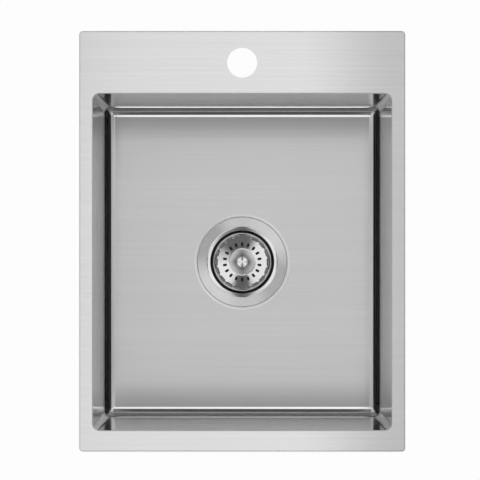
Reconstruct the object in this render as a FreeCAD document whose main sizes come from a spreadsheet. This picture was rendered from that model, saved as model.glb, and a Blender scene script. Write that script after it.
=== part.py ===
import FreeCAD, Part
import math
import os

import Sketcher

# Drop-in laundry sink with a basket strainer waste and four fixing clips.
# Millimetres. The origin is on the waste axis in the plane of the worktop, +Y goes to the tap ledge, +Z up.
# The waste pieces are drawn with their zero height at the bowl's floor, the clip pieces at the worktop.

dimensions = {
    "side_margin": 16,
    "front_margin": 25,
    "ledge_depth": 73,
    "rim_corner": 4.3,
    "rim_height": 3,
    "rim_edge_round": 1.5,
    "mouth_round": 1.1,
    "collar_drop": 8,
    "sheet_thick": 1.2,
    "tap_hole_radius": 17.5,
    "tap_hole_inset": 37,
    "bowl_width": 348,
    "bowl_length": 392,
    "bowl_depth": 200,
    "bowl_corner": 8,
    "floor_radius": 12,
    "seal_width": 8,
    "seal_clearance": 0.3,
    "pad_thick": 3,
    "pad_corner": 12,
    "pad_height": 90,
    "pad_lift": 20,
    "side_pad_length": 240,
    "end_pad_length": 220,
    "base_pad_length": 280,
    "base_pad_inset": 23.5,
    "base_pad_clearance": 16,
    "seat_depth": 2,
    "seat_fall": 2,
    "seat_clearance": 0.5,
    "seat_step": 0.2,
    "seat_shoulder": 2.6,
    "dish_depth": 0.5,
    "seat_round": 4,
    "waste_hole_radius": 45,
    "flange_radius": 57,
    "flange_inner": 45.2,
    "flange_wall": 1.2,
    "gasket_thick": 1,
    "gasket_inset": 1,
    "step_drop": 0.4,
    "land_fall": 1.4,
    "step_run": 0.4,
    "throat_radius": 40.5,
    "throat_round": 0.8,
    "cup_wall": 2,
    "cup_depth": 44,
    "cup_floor": 1.5,
    "cup_round": 5,
    "neck_drop": 3,
    "thread_clearance": 0.15,
    "clamp_radius": 54,
    "under_gasket_base": 8.5,
    "friction_thick": 1.5,
    "back_nut_height": 11,
    "back_nut_radius": 51,
    "back_nut_reach": 57,
    "back_nut_lug": 14,
    "back_nut_lugs": 6,
    "tail_radius": 29.8,
    "tail_bore": 25.5,
    "tail_flange_radius": 34,
    "tail_flange_thick": 2.5,
    "tail_gasket_thick": 1,
    "tail_clearance": 0.4,
    "tail_length": 78,
    "tail_chamfer": 1.5,
    "relief_width": 1.5,
    "relief_depth": 0.8,
    "relief_gap": 0.5,
    "tail_nut_flats": 72,
    "tail_nut_height": 8,
    "bar_level": 46,
    "bar_height": 6,
    "bar_width": 2.6,
    "bar_bite": 1,
    "hub_radius": 6.5,
    "post_radius": 3,
    "post_clearance": 0.25,
    "post_tip": 57,
    "post_taper": 1,
    "collar_radius": 5,
    "collar_thick": 1.5,
    "spin_clearance": 0.2,
    "fit_clearance": 0.05,
    "basket_sheet": 0.8,
    "lip_radius": 37,
    "lip_width": 1.1,
    "lip_level": 11,
    "basket_taper": 2.3,
    "basket_floor_level": 31,
    "basket_dish": 5,
    "basket_round": 2,
    "dome_radius": 16.4,
    "dome_shoulder_radius": 13.6,
    "dome_shoulder_rise": 2.8,
    "dome_top_radius": 8,
    "dome_rise": 5,
    "dome_round": 4,
    "slot_count": 18,
    "floor_slot_inner": 20,
    "floor_slot_outer": 25.2,
    "floor_slot_width": 3.1,
    "wall_slot_bite": 2.2,
    "wall_slot_width": 8.2,
    "wall_slot_height": 7,
    "wall_slot_round": 2,
    "knob_radius": 6.8,
    "knob_neck": 4.2,
    "knob_foot": 4.8,
    "knob_top": 12,
    "knob_neck_rise": 4,
    "knob_flare": 3.5,
    "knob_round": 3,
    "knob_edge": 0.8,
    "knob_roof": 3.5,
    "stopper_radius": 29.5,
    "stopper_top_radius": 24,
    "stopper_height": 5.8,
    "stopper_skirt": 2.2,
    "stopper_hollow": 1.7,
    "stopper_lip": 3.5,
    "stopper_seat_gap": 0.3,
    "washer_radius": 13,
    "washer_thick": 1,
    "detent_radius": 5.5,
    "detent_thick": 1.4,
    "clip_spacing": 260,
    "bridge_top": 10,
    "bridge_height": 12,
    "bridge_foot": 7,
    "bridge_sheet": 1.2,
    "bridge_clearance": 0.2,
    "hanger_thick": 1.5,
    "hanger_width": 16,
    "hanger_top": 5,
    "hanger_drop": 66,
    "hanger_foot": 13.8,
    "hanger_bend": 1,
    "barb_width": 8,
    "screw_offset": 8.2,
    "screw_radius": 3,
    "screw_tip": 14,
    "screw_chamfer": 0.8,
    "screw_hole_clearance": 0.3,
    "screw_collar_radius": 5,
    "screw_collar_thick": 1.5,
    "screw_flats": 10,
    "screw_head_height": 4,
    "running_clearance": 0.1,
    "nut_rest_gap": 0.3,
    "nut_width": 12.4,
    "nut_height": 6,
    "nut_edge_round": 1,
    "boss_radius": 4.3,
    "boss_lip_radius": 5.4,
    "boss_lip_thick": 0.8,
    "claw_thick": 2,
    "claw_end_radius": 6.3,
    "claw_width": 11,
    "claw_length": 32,
    "claw_upstand": 6,
    "claw_bend": 1.5,
    "tooth_count": 4,
    "tooth_depth": 1.6,
}

doc = FreeCAD.newDocument("laundry_sink")
sheet = doc.addObject("Spreadsheet::Sheet", "sizes")
for row, (name, number) in enumerate(dimensions.items(), start=1):
    sheet.set("A%d" % row, name)
    sheet.set("B%d" % row, str(number))
    sheet.setAlias("B%d" % row, name)
doc.recompute()


class Size:
    """A length that keeps its number together with the sheet expression that gives it."""

    def __init__(self, number, text):
        self.number = number
        self.text = text

    def join(self, other, sign, flip=False):
        if not isinstance(other, Size):
            other = Size(other, repr(other))
        first, second = (other, self) if flip else (self, other)
        number = {
            "+": lambda a, b: a + b,
            "-": lambda a, b: a - b,
            "*": lambda a, b: a * b,
            "/": lambda a, b: a / b,
        }[sign](first.number, second.number)
        return Size(number, "(%s %s %s)" % (first.text, sign, second.text))

    def __add__(self, other):
        return self.join(other, "+")

    def __radd__(self, other):
        return self.join(other, "+", True)

    def __sub__(self, other):
        return self.join(other, "-")

    def __rsub__(self, other):
        return self.join(other, "-", True)

    def __mul__(self, other):
        return self.join(other, "*")

    def __rmul__(self, other):
        return self.join(other, "*", True)

    def __truediv__(self, other):
        return self.join(other, "/")

    def __neg__(self):
        return self.join(-1, "*", True)


class Sizes:
    """Each dimension of the sheet as an attribute."""

    def __getattr__(self, name):
        return Size(dimensions[name], "sizes." + name)


size = Sizes()
zero = Size(0, "0")
zAxis = FreeCAD.Vector(0, 0, 1)
finished = []


def finish(piece, label):
    piece.Label = label
    finished.append(piece)
    return piece


def at_height(piece, level):
    piece.setExpression("Placement.Base.z", level.text)


def place(piece, x, y, z, rotation=FreeCAD.Rotation()):
    piece.Placement = FreeCAD.Placement(FreeCAD.Vector(x.number, y.number, z.number), rotation)
    piece.setExpression("Placement.Base.x", x.text)
    piece.setExpression("Placement.Base.y", y.text)
    piece.setExpression("Placement.Base.z", z.text)


def new_body(name):
    return doc.addObject("PartDesign::Body", name)


def datum(body, role):
    return [feature for feature in body.Origin.OriginFeatures if feature.Role == role][0]


def new_sketch(body, name, role, offset=None):
    sketch = body.newObject("Sketcher::SketchObject", name)
    sketch.AttachmentSupport = [(datum(body, role), "")]
    sketch.MapMode = "FlatFace"
    if offset is not None:
        sketch.AttachmentOffset = FreeCAD.Placement(zAxis * offset.number, FreeCAD.Rotation())
        sketch.setExpression("AttachmentOffset.Base.z", offset.text)
    return sketch


def bind(sketch, constraint, length):
    index = sketch.addConstraint(constraint)
    sketch.setExpression("Constraints[%d]" % index, length.text)


def pin_point(sketch, geometry, end, u, v):
    """Hold one point of the sketch at u, v from the sketch's origin."""
    for kind, axis, length in (("DistanceX", -2, u), ("DistanceY", -1, v)):
        if length is zero:
            sketch.addConstraint(Sketcher.Constraint("PointOnObject", geometry, end, axis))
        else:
            bind(sketch, Sketcher.Constraint(kind, -1, 1, geometry, end, length.number), length)


def outline(sketch, corners):
    """Draw a closed outline. A corner is (u, v), or (u, v, radius) where it is rounded."""
    count = len(corners)
    points = [FreeCAD.Vector(corner[0].number, corner[1].number, 0) for corner in corners]
    arrive = []
    leave = []
    centres = []
    for i, corner in enumerate(corners):
        back = (points[i - 1] - points[i]).normalize()
        ahead = (points[(i + 1) % count] - points[i]).normalize()
        half = back.getAngle(ahead) / 2
        radius = corner[2].number if len(corner) > 2 else 0
        arrive.append(points[i] + back * (radius / math.tan(half)))
        leave.append(points[i] + ahead * (radius / math.tan(half)))
        centres.append(points[i] + (back + ahead).normalize() * (radius / math.sin(half)) if radius else None)
    lines = []
    for i in range(count):
        lines.append(sketch.addGeometry(Part.LineSegment(leave[i], arrive[(i + 1) % count])))
    for i, corner in enumerate(corners):
        before, after = lines[i - 1], lines[i]
        if len(corner) == 2:
            sketch.addConstraint(Sketcher.Constraint("Coincident", before, 2, after, 1))
            pin_point(sketch, after, 1, corner[0], corner[1])
            continue
        turn = (points[i] - points[i - 1]).cross(points[(i + 1) % count] - points[i]).z
        first, last = (arrive[i], leave[i]) if turn > 0 else (leave[i], arrive[i])
        fromEnd, toEnd = (1, 2) if turn > 0 else (2, 1)
        circle = Part.Circle(centres[i], zAxis, corner[2].number)
        start = math.atan2(first.y - centres[i].y, first.x - centres[i].x)
        stop = math.atan2(last.y - centres[i].y, last.x - centres[i].x)
        arc = sketch.addGeometry(Part.ArcOfCircle(circle, start, stop))
        sketch.addConstraint(Sketcher.Constraint("Tangent", before, 2, arc, fromEnd))
        sketch.addConstraint(Sketcher.Constraint("Tangent", arc, toEnd, after, 1))
        bind(sketch, Sketcher.Constraint("Radius", arc, corner[2].number), corner[2])
        point = sketch.addGeometry(Part.Point(points[i]), True)
        sketch.addConstraint(Sketcher.Constraint("PointOnObject", point, 1, before))
        sketch.addConstraint(Sketcher.Constraint("PointOnObject", point, 1, after))
        pin_point(sketch, point, 1, corner[0], corner[1])


def rectangle(sketch, left, right, front, back, radius=None):
    rounding = () if radius is None else (radius,)
    outline(sketch, [
        (left, front) + rounding,
        (right, front) + rounding,
        (right, back) + rounding,
        (left, back) + rounding,
    ])


def circle(sketch, radius, u=zero, v=zero):
    centre = FreeCAD.Vector(u.number, v.number, 0)
    ring = sketch.addGeometry(Part.Circle(centre, zAxis, radius.number))
    bind(sketch, Sketcher.Constraint("Radius", ring, radius.number), radius)
    pin_point(sketch, ring, 3, u, v)


def hexagon(sketch, flats):
    corner = flats / math.sqrt(3)
    steps = [math.radians(60 * i) for i in range(6)]
    outline(sketch, [(corner * math.cos(step), zero if i % 3 == 0 else corner * math.sin(step))
                     for i, step in enumerate(steps)])


def pad(body, sketch, length, symmetric=False):
    feature = body.newObject("PartDesign::Pad", sketch.Name + "_pad")
    feature.Profile = sketch
    feature.Refine = True
    feature.setExpression("Length", length.text)
    if symmetric:
        feature.SideType = "Symmetric"
    body.Tip = feature
    return feature


def cut_through(body, sketch):
    feature = body.newObject("PartDesign::Pocket", sketch.Name + "_cut")
    feature.Profile = sketch
    feature.Type = "ThroughAll"
    feature.SideType = "Symmetric"
    body.Tip = feature
    return feature


def cut_outward(body, sketch, length):
    """Cut from the sketch along its own normal."""
    feature = body.newObject("PartDesign::Pocket", sketch.Name + "_cut")
    feature.Profile = sketch
    feature.setExpression("Length", length.text)
    feature.Reversed = True
    body.Tip = feature
    return feature


def revolve(body, sketch):
    feature = body.newObject("PartDesign::Revolution", sketch.Name + "_turn")
    feature.Profile = sketch
    feature.ReferenceAxis = (sketch, ["V_Axis"])
    feature.Angle = 360
    body.Tip = feature
    return feature


def repeat_round(body, original, count):
    feature = body.newObject("PartDesign::PolarPattern", original.Name + "_ring")
    feature.Originals = [original]
    feature.Axis = (datum(body, "Z_Axis"), [""])
    feature.Angle = 360
    feature.setExpression("Occurrences", count.text)
    body.Tip = feature
    return feature


def round_edges(body, name, radius, wanted):
    """Round every edge of the body's present shape that the wanted test picks."""
    doc.recompute()
    base = body.Tip
    edges = ["Edge%d" % i for i, edge in enumerate(base.Shape.Edges, start=1) if wanted(edge)]
    feature = body.newObject("PartDesign::Fillet", name)
    feature.Base = (base, edges)
    feature.setExpression("Radius", radius.text)
    body.Tip = feature
    return feature


def turned(name, corners, level=None):
    """A round piece, from its half section in radius and height."""
    body = new_body(name)
    sketch = new_sketch(body, name + "_section", "XZ_Plane")
    outline(sketch, corners)
    revolve(body, sketch)
    if level is not None:
        at_height(body, level)
    return body


def ring(name, inner, outer, base, top, level):
    """A flat washer between two heights."""
    corners = [(inner, base), (outer, base), (outer, top), (inner, top)]
    return finish(turned(name, corners, level), name)


def on_plane(edge, height):
    return all(abs(vertex.Z - height.number) < 1e-4 for vertex in edge.Vertexes)


# Main levels and outlines
underRim = size.rim_height - size.sheet_thick
floorLevel = size.rim_height - size.bowl_depth
halfWidth = size.bowl_width / 2
halfLength = size.bowl_length / 2
wallFace = halfWidth + size.sheet_thick
endFace = halfLength + size.sheet_thick
rimHalf = halfWidth + size.side_margin
rimFront = -halfLength - size.front_margin
rimBack = halfLength + size.ledge_depth
seamLevel = size.rim_height - size.collar_drop


def rim_outline(sketch, inset, radius=None):
    rectangle(sketch, inset - rimHalf, rimHalf - inset, rimFront + inset, rimBack - inset, radius)


def mouth_outline(sketch, grow):
    rectangle(sketch, -halfWidth - grow, halfWidth + grow, -halfLength - grow, halfLength + grow,
              size.bowl_corner + grow)


# Rim: flat sheet with a turned-down outer lip and a turned-down collar round the bowl's mouth
deck = new_body("rim_deck")
sketch = new_sketch(deck, "deck_plate", "XY_Plane", underRim)
rim_outline(sketch, zero, size.rim_corner)
mouth_outline(sketch, zero)
pad(deck, sketch, size.sheet_thick)
sketch = new_sketch(deck, "deck_lip", "XY_Plane")
rim_outline(sketch, zero, size.rim_corner)
rim_outline(sketch, size.sheet_thick, size.rim_corner - size.sheet_thick)
pad(deck, sketch, underRim)
sketch = new_sketch(deck, "deck_collar", "XY_Plane", seamLevel)
mouth_outline(sketch, size.sheet_thick)
mouth_outline(sketch, zero)
pad(deck, sketch, underRim - seamLevel)
sketch = new_sketch(deck, "deck_tap_hole", "XY_Plane")
circle(sketch, size.tap_hole_radius, zero, rimBack - size.tap_hole_inset)
cut_through(deck, sketch)


def past_mouth(edge):
    """How far an edge's middle lies outside the mouth's straight sides."""
    middle = edge.valueAt((edge.FirstParameter + edge.LastParameter) / 2)
    return max(abs(middle.x) - halfWidth.number, abs(middle.y) - halfLength.number)


def rim_top_edge(edge):
    return on_plane(edge, size.rim_height) and not edge.isClosed() and past_mouth(edge) > size.sheet_thick.number


def mouth_top_edge(edge):
    return on_plane(edge, size.rim_height) and not edge.isClosed() and past_mouth(edge) < size.sheet_thick.number


round_edges(deck, "deck_edge", size.rim_edge_round, rim_top_edge)
round_edges(deck, "deck_mouth_edge", size.mouth_round, mouth_top_edge)
finish(deck, "rim_deck")

# Foam seal under the rim, inside the lip
seal = new_body("rim_seal")
sketch = new_sketch(seal, "seal_ring", "XY_Plane")
sealInset = size.sheet_thick + size.seal_clearance
rim_outline(sketch, sealInset, size.rim_corner - sealInset)
rim_outline(sketch, sealInset + size.seal_width)
pad(seal, sketch, underRim)
finish(seal, "rim_seal")


# Bowl: a deep rounded tub of even sheet, with a coned seat pressed into its floor for the waste
def tub(name, grow, top):
    """A block with rounded upright corners and a rounder bottom edge."""
    block = doc.addObject("Part::Box", name + "_block")
    block.setExpression("Length", (size.bowl_width + grow * 2).text)
    block.setExpression("Width", (size.bowl_length + grow * 2).text)
    block.setExpression("Height", (top - floorLevel + grow).text)
    place(block, -halfWidth - grow, -halfLength - grow, floorLevel - grow)
    doc.recompute()
    upright = (size.bowl_corner + grow).number
    bottom = (size.floor_radius + grow).number
    rounds = []
    for i, edge in enumerate(block.Shape.Edges, start=1):
        if on_plane(edge, floorLevel - grow):
            rounds.append((i, bottom, bottom))
        elif abs(edge.Vertexes[0].Z - edge.Vertexes[-1].Z) > 1:
            rounds.append((i, upright, upright))
    rounded = doc.addObject("Part::Fillet", name)
    rounded.Base = block
    rounded.Edges = rounds
    return rounded


def cone(name, lowRadius, highRadius, low, high):
    piece = doc.addObject("Part::Cone", name)
    piece.setExpression("Radius1", lowRadius.text)
    piece.setExpression("Radius2", highRadius.text)
    piece.setExpression("Height", (high - low).text)
    at_height(piece, floorLevel + low)
    return piece


def joined(name, pieces):
    whole = doc.addObject("Part::MultiFuse", name)
    whole.Shapes = pieces
    return whole


def less(name, base, tool):
    rest = doc.addObject("Part::Cut", name)
    rest.Base = base
    rest.Tool = tool
    return rest


seatRadius = size.flange_radius + size.seat_clearance
seatEdge = -size.seat_depth
seatBase = seatEdge - size.seat_fall
dishEdge = -size.dish_depth
dishRadius = seatRadius + size.seat_step
underSeat = seatRadius + size.sheet_thick
underDish = dishRadius + size.sheet_thick
tubShell = less("tub_shell", tub("tub_outside", size.sheet_thick, seamLevel),
                tub("tub_inside", zero, seamLevel))
pressed = joined("tub_pressed", [
    tubShell,
    cone("shoulder_outside", underDish, underDish + size.seat_shoulder,
         dishEdge - size.sheet_thick, -size.sheet_thick),
    cone("step_outside", underSeat, underDish, seatEdge - size.sheet_thick, dishEdge - size.sheet_thick),
    cone("seat_outside", size.waste_hole_radius, underSeat,
         seatBase - size.sheet_thick, seatEdge - size.sheet_thick),
])
wasteHole = doc.addObject("Part::Cylinder", "waste_hole")
wasteHole.setExpression("Radius", size.waste_hole_radius.text)
wasteHole.setExpression("Height", (size.sheet_thick * 2 - seatBase).text)
at_height(wasteHole, floorLevel + seatBase - size.sheet_thick * 2)
seatCut = joined("seat_cut", [
    cone("shoulder_inside", dishRadius, dishRadius + size.seat_shoulder, dishEdge, zero),
    cone("step_inside", seatRadius, dishRadius, seatEdge, dishEdge),
    cone("seat_inside", size.waste_hole_radius, seatRadius, seatBase, seatEdge),
    wasteHole,
])
sharpBowl = less("bowl_sharp", pressed, seatCut)
doc.recompute()
shoulderRadius = dishRadius + size.seat_shoulder
bowl = doc.addObject("Part::Fillet", "bowl")
bowl.Base = sharpBowl
bowl.Edges = [
    (i, size.seat_round.number, size.seat_round.number)
    for i, edge in enumerate(sharpBowl.Shape.Edges, start=1)
    if on_plane(edge, floorLevel) and abs(edge.Vertexes[0].Point.distanceToLine(FreeCAD.Vector(), zAxis)
                                          - shoulderRadius.number) < 1e-4
]
finish(bowl, "bowl")


# Sound pads on the outside of the tub
def sound_pad(name, across, along, x, y, z, axis, turn):
    body = new_body(name)
    sketch = new_sketch(body, name + "_outline", "XY_Plane")
    rectangle(sketch, -across / 2, across / 2, -along / 2, along / 2, size.pad_corner)
    pad(body, sketch, size.pad_thick)
    place(body, x, y, z, FreeCAD.Rotation(axis, turn))
    finish(body, name)


xAxis = FreeCAD.Vector(1, 0, 0)
yAxis = FreeCAD.Vector(0, 1, 0)
padLevel = floorLevel + size.pad_lift + size.pad_height / 2
baseFace = floorLevel - size.sheet_thick
basePadNear = underDish + size.seat_shoulder + size.base_pad_clearance
basePadFar = halfLength - size.base_pad_inset
sound_pad("pad_left", size.pad_height, size.side_pad_length, -wallFace, zero, padLevel, yAxis, -90)
sound_pad("pad_right", size.pad_height, size.side_pad_length, wallFace, zero, padLevel, yAxis, 90)
sound_pad("pad_front", size.end_pad_length, size.pad_height, zero, -endFace, padLevel, xAxis, 90)
sound_pad("pad_back", size.end_pad_length, size.pad_height, zero, endFace, padLevel, xAxis, -90)
for name, side in (("pad_base_front", -1), ("pad_base_back", 1)):
    sound_pad(name, size.base_pad_length, basePadFar - basePadNear, zero, (basePadNear + basePadFar) * side / 2,
              baseFace, xAxis, 180)


# Waste. Heights are from the bowl's floor.
def seat_height(radius):
    """Height of the coned seat's upper face."""
    return seatEdge - (seatRadius - radius) * size.seat_fall / (seatRadius - size.waste_hole_radius)


def under_height(radius):
    """Height of the coned seat's lower face."""
    return (seatEdge - size.sheet_thick
            - (underSeat - radius) * size.seat_fall / (underSeat - size.waste_hole_radius))


def flange_under(radius):
    return seat_height(radius) + size.gasket_thick


def flange_top(radius):
    return flange_under(radius) + size.flange_wall


cupRadius = size.throat_radius + size.cup_wall
cupFloor = -size.cup_depth
cupBase = cupFloor - size.cup_floor
neckLevel = flange_under(size.waste_hole_radius) - size.neck_drop
flangeEdgeRound = size.flange_wall / 3
landLevel = flange_top(size.flange_inner) - size.step_drop
tailHole = size.tail_radius + size.tail_clearance
finish(turned("strainer_body", [
    (size.flange_radius, flange_under(size.flange_radius)),
    (size.flange_radius, flange_top(size.flange_radius), flangeEdgeRound),
    (size.flange_inner, flange_top(size.flange_inner)),
    (size.flange_inner - size.step_run, landLevel),
    (size.throat_radius, landLevel - size.land_fall, size.throat_round),
    (size.throat_radius, cupFloor, size.cup_round),
    (tailHole, cupFloor),
    (tailHole, cupBase),
    (cupRadius, cupBase, size.cup_round),
    (cupRadius, neckLevel),
    (size.waste_hole_radius, flange_under(size.waste_hole_radius)),
], floorLevel), "strainer_body")

gasketOuter = size.flange_radius - size.gasket_inset
finish(turned("flange_gasket", [
    (size.waste_hole_radius, seat_height(size.waste_hole_radius)),
    (gasketOuter, seat_height(gasketOuter)),
    (gasketOuter, flange_under(gasketOuter)),
    (size.waste_hole_radius, flange_under(size.waste_hole_radius)),
], floorLevel), "flange_gasket")

threadBore = cupRadius + size.thread_clearance
gasketBase = -size.under_gasket_base
frictionBase = gasketBase - size.friction_thick
finish(turned("under_gasket", [
    (threadBore, gasketBase),
    (size.clamp_radius, gasketBase),
    (size.clamp_radius, under_height(size.clamp_radius)),
    (size.waste_hole_radius, under_height(size.waste_hole_radius)),
    (threadBore, neckLevel - size.thread_clearance),
], floorLevel), "under_gasket")
ring("friction_ring", threadBore, size.clamp_radius, frictionBase, gasketBase, floorLevel)

backNut = new_body("back_nut")
nutBase = frictionBase - size.back_nut_height
sketch = new_sketch(backNut, "back_nut_ring", "XY_Plane", nutBase)
circle(sketch, size.back_nut_radius)
circle(sketch, threadBore)
pad(backNut, sketch, size.back_nut_height)
sketch = new_sketch(backNut, "back_nut_lug", "XY_Plane", nutBase)
lugRoot = (size.back_nut_radius + threadBore) / 2
rectangle(sketch, lugRoot, size.back_nut_reach, -size.back_nut_lug / 2, size.back_nut_lug / 2)
lug = pad(backNut, sketch, size.back_nut_height)
repeat_round(backNut, lug, size.back_nut_lugs)
at_height(backNut, floorLevel)
finish(backNut, "back_nut")

tailFlangeBase = cupFloor + size.tail_gasket_thick
tailSeat = tailFlangeBase + size.tail_flange_thick
tailEnd = -size.tail_length
reliefTop = cupBase - size.tail_nut_height - size.relief_gap
reliefBase = reliefTop - size.relief_width
reliefRadius = size.tail_radius - size.relief_depth
ring("tail_gasket", tailHole, size.tail_flange_radius, cupFloor, tailFlangeBase, floorLevel)
tail = turned("outlet_tail", [
    (size.tail_bore, tailEnd),
    (size.tail_radius - size.tail_chamfer, tailEnd),
    (size.tail_radius, tailEnd + size.tail_chamfer),
    (size.tail_radius, reliefBase),
    (reliefRadius, reliefBase),
    (reliefRadius, reliefTop),
    (size.tail_radius, reliefTop),
    (size.tail_radius, tailFlangeBase),
    (size.tail_flange_radius, tailFlangeBase),
    (size.tail_flange_radius, tailSeat),
    (size.tail_bore, tailSeat),
], floorLevel)
barBase = -size.bar_level - size.bar_height
barReach = size.tail_bore + size.bar_bite
for name, across, along in (("bar_across", barReach, size.bar_width / 2), ("bar_along", size.bar_width / 2, barReach)):
    sketch = new_sketch(tail, name, "XY_Plane", barBase)
    rectangle(sketch, -across, across, -along, along)
    pad(tail, sketch, size.bar_height)
sketch = new_sketch(tail, "bar_hub", "XY_Plane", barBase)
circle(sketch, size.hub_radius)
pad(tail, sketch, size.bar_height)
sketch = new_sketch(tail, "bar_hub_hole", "XY_Plane", barBase)
circle(sketch, size.post_radius + size.post_clearance)
cut_through(tail, sketch)
finish(tail, "outlet_tail")

tailNut = new_body("tail_nut")
sketch = new_sketch(tailNut, "tail_nut_flats", "XY_Plane", cupBase - size.tail_nut_height)
hexagon(sketch, size.tail_nut_flats)
circle(sketch, size.tail_radius + size.thread_clearance)
pad(tailNut, sketch, size.tail_nut_height)
at_height(tailNut, floorLevel)
finish(tailNut, "tail_nut")

# Basket: one thin pressed sheet with a rolled lip, a dished floor with slots, more slots round the foot
# of its wall, and a dome that carries it on the post
basketFloor = -size.basket_floor_level
basketUnder = basketFloor - size.basket_sheet
domeTop = basketFloor + size.dome_rise
domeUnder = domeTop - size.basket_sheet
shoulderLevel = basketFloor + size.dome_shoulder_rise
lipLevel = -size.lip_level
basketMouth = size.lip_radius - size.lip_width
basketFoot = basketMouth - size.basket_taper
footLevel = basketFloor + size.basket_dish
# On a slope the sheet's underside lies this share of its thickness inside the upper face
slopeShare = 0.6
skew = size.basket_sheet * slopeShare
lipEdgeRound = size.basket_sheet / 3
lipRound = size.lip_width / 2
spinBore = size.post_radius + size.spin_clearance
basket = turned("basket", [
    (size.lip_radius, lipLevel - size.basket_sheet),
    (size.lip_radius, lipLevel, lipEdgeRound),
    (basketMouth, lipLevel, lipRound),
    (basketFoot, footLevel, size.basket_round),
    (size.dome_radius, basketFloor, size.basket_round),
    (size.dome_shoulder_radius, shoulderLevel, size.dome_round),
    (size.dome_top_radius, domeTop, size.dome_round),
    (spinBore, domeTop),
    (spinBore, domeUnder),
    (size.dome_top_radius - skew / 2, domeUnder, size.dome_round - skew),
    (size.dome_shoulder_radius - skew, shoulderLevel - skew, size.dome_round - skew),
    (size.dome_radius - skew, basketUnder, size.basket_round),
    (basketFoot + size.basket_sheet, footLevel - size.basket_sheet, size.basket_round + size.basket_sheet),
    (basketMouth + size.basket_sheet, lipLevel - size.basket_sheet),
], floorLevel)
sketch = new_sketch(basket, "floor_slot", "XY_Plane", basketFloor)
slotHalf = size.floor_slot_width / 2
slotRoundShare = 0.4
rectangle(sketch, -slotHalf, slotHalf, size.floor_slot_inner, size.floor_slot_outer,
          size.floor_slot_width * slotRoundShare)
repeat_round(basket, cut_through(basket, sketch), size.slot_count)
slotInner = basketFoot - size.wall_slot_bite
sketch = new_sketch(basket, "wall_slot", "YZ_Plane", slotInner)
slotHalf = size.wall_slot_width / 2
slotBase = basketUnder - size.basket_sheet
slotTop = footLevel + size.wall_slot_height
outline(sketch, [
    (-slotHalf, slotBase),
    (slotHalf, slotBase),
    (slotHalf, slotTop, size.wall_slot_round),
    (-slotHalf, slotTop, size.wall_slot_round),
])
repeat_round(basket, cut_outward(basket, sketch, size.lip_radius - slotInner), size.slot_count)
finish(basket, "basket")

# Post with the collar that carries the basket and the one that the plug is held against
collarTop = domeUnder - size.spin_clearance
collarBase = collarTop - size.collar_thick
stopperBase = tailSeat + size.stopper_seat_gap
stopperTop = stopperBase + size.stopper_height
washerTop = stopperTop + size.washer_thick
stopTop = washerTop + size.collar_thick
postTop = -size.knob_top - size.knob_roof
postTip = -size.post_tip
finish(turned("basket_post", [
    (zero, postTip),
    (size.post_radius - size.post_taper, postTip),
    (size.post_radius, postTip + size.post_taper),
    (size.post_radius, washerTop),
    (size.collar_radius, washerTop),
    (size.collar_radius, stopTop),
    (size.post_radius, stopTop),
    (size.post_radius, collarBase),
    (size.collar_radius, collarBase),
    (size.collar_radius, collarTop),
    (size.post_radius, collarTop),
    (size.post_radius, postTop),
    (zero, postTop),
], floorLevel), "basket_post")

fitBore = size.post_radius + size.fit_clearance
knobBase = domeTop + size.spin_clearance
knobTop = -size.knob_top
knobNeck = knobBase + size.knob_neck_rise
finish(turned("knob", [
    (fitBore, knobBase),
    (size.knob_foot, knobBase),
    (size.knob_neck, knobNeck, size.knob_round),
    (size.knob_radius, knobNeck + size.knob_flare),
    (size.knob_radius, knobTop, size.knob_edge),
    (zero, knobTop),
    (zero, postTop),
    (fitBore, postTop),
], floorLevel), "knob")

lipInner = size.stopper_radius - size.stopper_lip
hollowTop = stopperBase + size.stopper_hollow
finish(turned("stopper", [
    (fitBore, hollowTop),
    (lipInner - size.stopper_hollow, hollowTop),
    (lipInner, stopperBase),
    (size.stopper_radius, stopperBase),
    (size.stopper_radius, stopperBase + size.stopper_skirt),
    (size.stopper_top_radius, stopperTop, size.stopper_hollow),
    (fitBore, stopperTop),
], floorLevel), "stopper")
ring("stopper_washer", fitBore, size.washer_radius, stopperTop, washerTop, floorLevel)
ring("detent_ring", fitBore, size.detent_radius, hollowTop - size.detent_thick, hollowTop, floorLevel)

# Clips. Each hangs behind a strap that is welded to the tub's side wall. Its own X points out from the wall.
strapGap = size.hanger_thick + size.bridge_clearance
strapFace = strapGap + size.bridge_sheet
strapHalf = size.hanger_width / 2 + size.bridge_clearance
strapBend = strapHalf + size.bridge_sheet
strapEnd = strapBend + size.bridge_foot
bridgeTop = -size.bridge_top
footBase = -size.hanger_drop
footTop = footBase + size.hanger_thick
hangerTop = -size.hanger_top


def bridge(name):
    body = new_body(name)
    sketch = new_sketch(body, name + "_section", "XY_Plane", bridgeTop - size.bridge_height)
    outline(sketch, [
        (zero, strapEnd),
        (zero, strapHalf),
        (strapGap, strapHalf),
        (strapGap, -strapHalf),
        (zero, -strapHalf),
        (zero, -strapEnd),
        (size.bridge_sheet, -strapEnd),
        (size.bridge_sheet, -strapBend),
        (strapFace, -strapBend),
        (strapFace, strapBend),
        (size.bridge_sheet, strapBend),
        (size.bridge_sheet, strapEnd),
    ])
    pad(body, sketch, size.bridge_height)
    return body


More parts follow.
